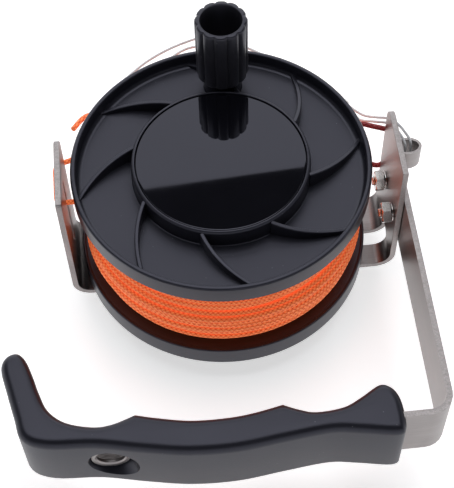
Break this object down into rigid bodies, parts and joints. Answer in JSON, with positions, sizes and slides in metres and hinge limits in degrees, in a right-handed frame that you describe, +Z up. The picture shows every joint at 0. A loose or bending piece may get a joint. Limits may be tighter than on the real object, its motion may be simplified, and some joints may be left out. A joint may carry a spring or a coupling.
{
  "type": "dive reel",
  "caption": "Hand-held dive reel: a flanged spool of wound line with a crank knob turns in a bent steel frame with a strap, a finger-grooved grip and a ratchet lever.",
  "frame": {"origin": "centre of the flat lower end of the axle bolt, the lowest point of the reel on the spool's axis", "axes": "+Z up along the spool's axis towards the crank knob; -Y towards the hand grip; +X towards the wing that carries the hand strap"},
  "size_m": [0.1842, 0.2161, 0.1073],
  "materials": {
    "stainless_sheet": "satin brushed sheet with sheared edges",
    "bright_fasteners": "bright",
    "black_plastic": "fine satin moulding",
    "grip_plastic": "fine satin moulding",
    "gloss_label": "high gloss",
    "orange_line": "braided cord",
    "steel_wire": "bright thin wire",
    "bush_plastic": "natural plain-bearing plastic"
  },
  "bodies": {
    "frame": {"frame_bracket": "stainless_sheet", "hand_strap": "stainless_sheet", "hand_grip": "grip_plastic", "lanyard_eyelet": "bright_fasteners", "grip_screw_1": "bright_fasteners", "grip_screw_2": "bright_fasteners", "strap_bolt_rear": "bright_fasteners", "strap_bolt_front": "bright_fasteners", "strap_nut_rear": "bright_fasteners", "strap_nut_front": "bright_fasteners", "strap_washer_rear": "bright_fasteners", "strap_washer_front": "bright_fasteners", "axle_bolt": "bright_fasteners", "axle_nut": "bright_fasteners", "base_washer": "bright_fasteners", "thrust_washer": "bright_fasteners", "head_washer": "bright_fasteners", "line_tail": "orange_line", "line_bight": "orange_line", "wire_loop": "steel_wire", "wire_sleeve": "steel_wire"},
    "spool": {"spool_body": "black_plastic", "front_flange": "black_plastic", "label_disc": "gloss_label", "flange_screw_1": "bright_fasteners", "flange_screw_2": "bright_fasteners", "flange_screw_3": "bright_fasteners", "back_bush": "bush_plastic", "front_bush": "bush_plastic", "knob_screw": "bright_fasteners", "line_core": "orange_line", "line_winding": "orange_line"},
    "knob": {"crank_knob": "black_plastic", "knob_washer": "bright_fasteners"},
    "lever": {"mode_lever": "stainless_sheet", "lever_button": "black_plastic", "lever_nut": "bright_fasteners", "pivot_stud": "bright_fasteners", "pawl": "stainless_sheet", "pawl_spacer": "bright_fasteners"}
  },
  "joints": [
    {"name": "spool_spin", "type": "hinge", "parent": "frame", "child": "spool", "pos_m": [0, 0, 0.04], "axis": [0, 0, 1], "continuous": true},
    {"name": "knob_spin", "type": "hinge", "parent": "spool", "child": "knob", "pos_m": [0.00538, 0.0472, 0.09], "axis": [0, 0, 1], "continuous": true},
    {"name": "lever_turn", "type": "hinge", "parent": "frame", "child": "lever", "pos_m": [-0.03795, -0.00199, 0.01], "axis": [0, 0, 1], "range_deg": [-10, 10]}
  ]
}
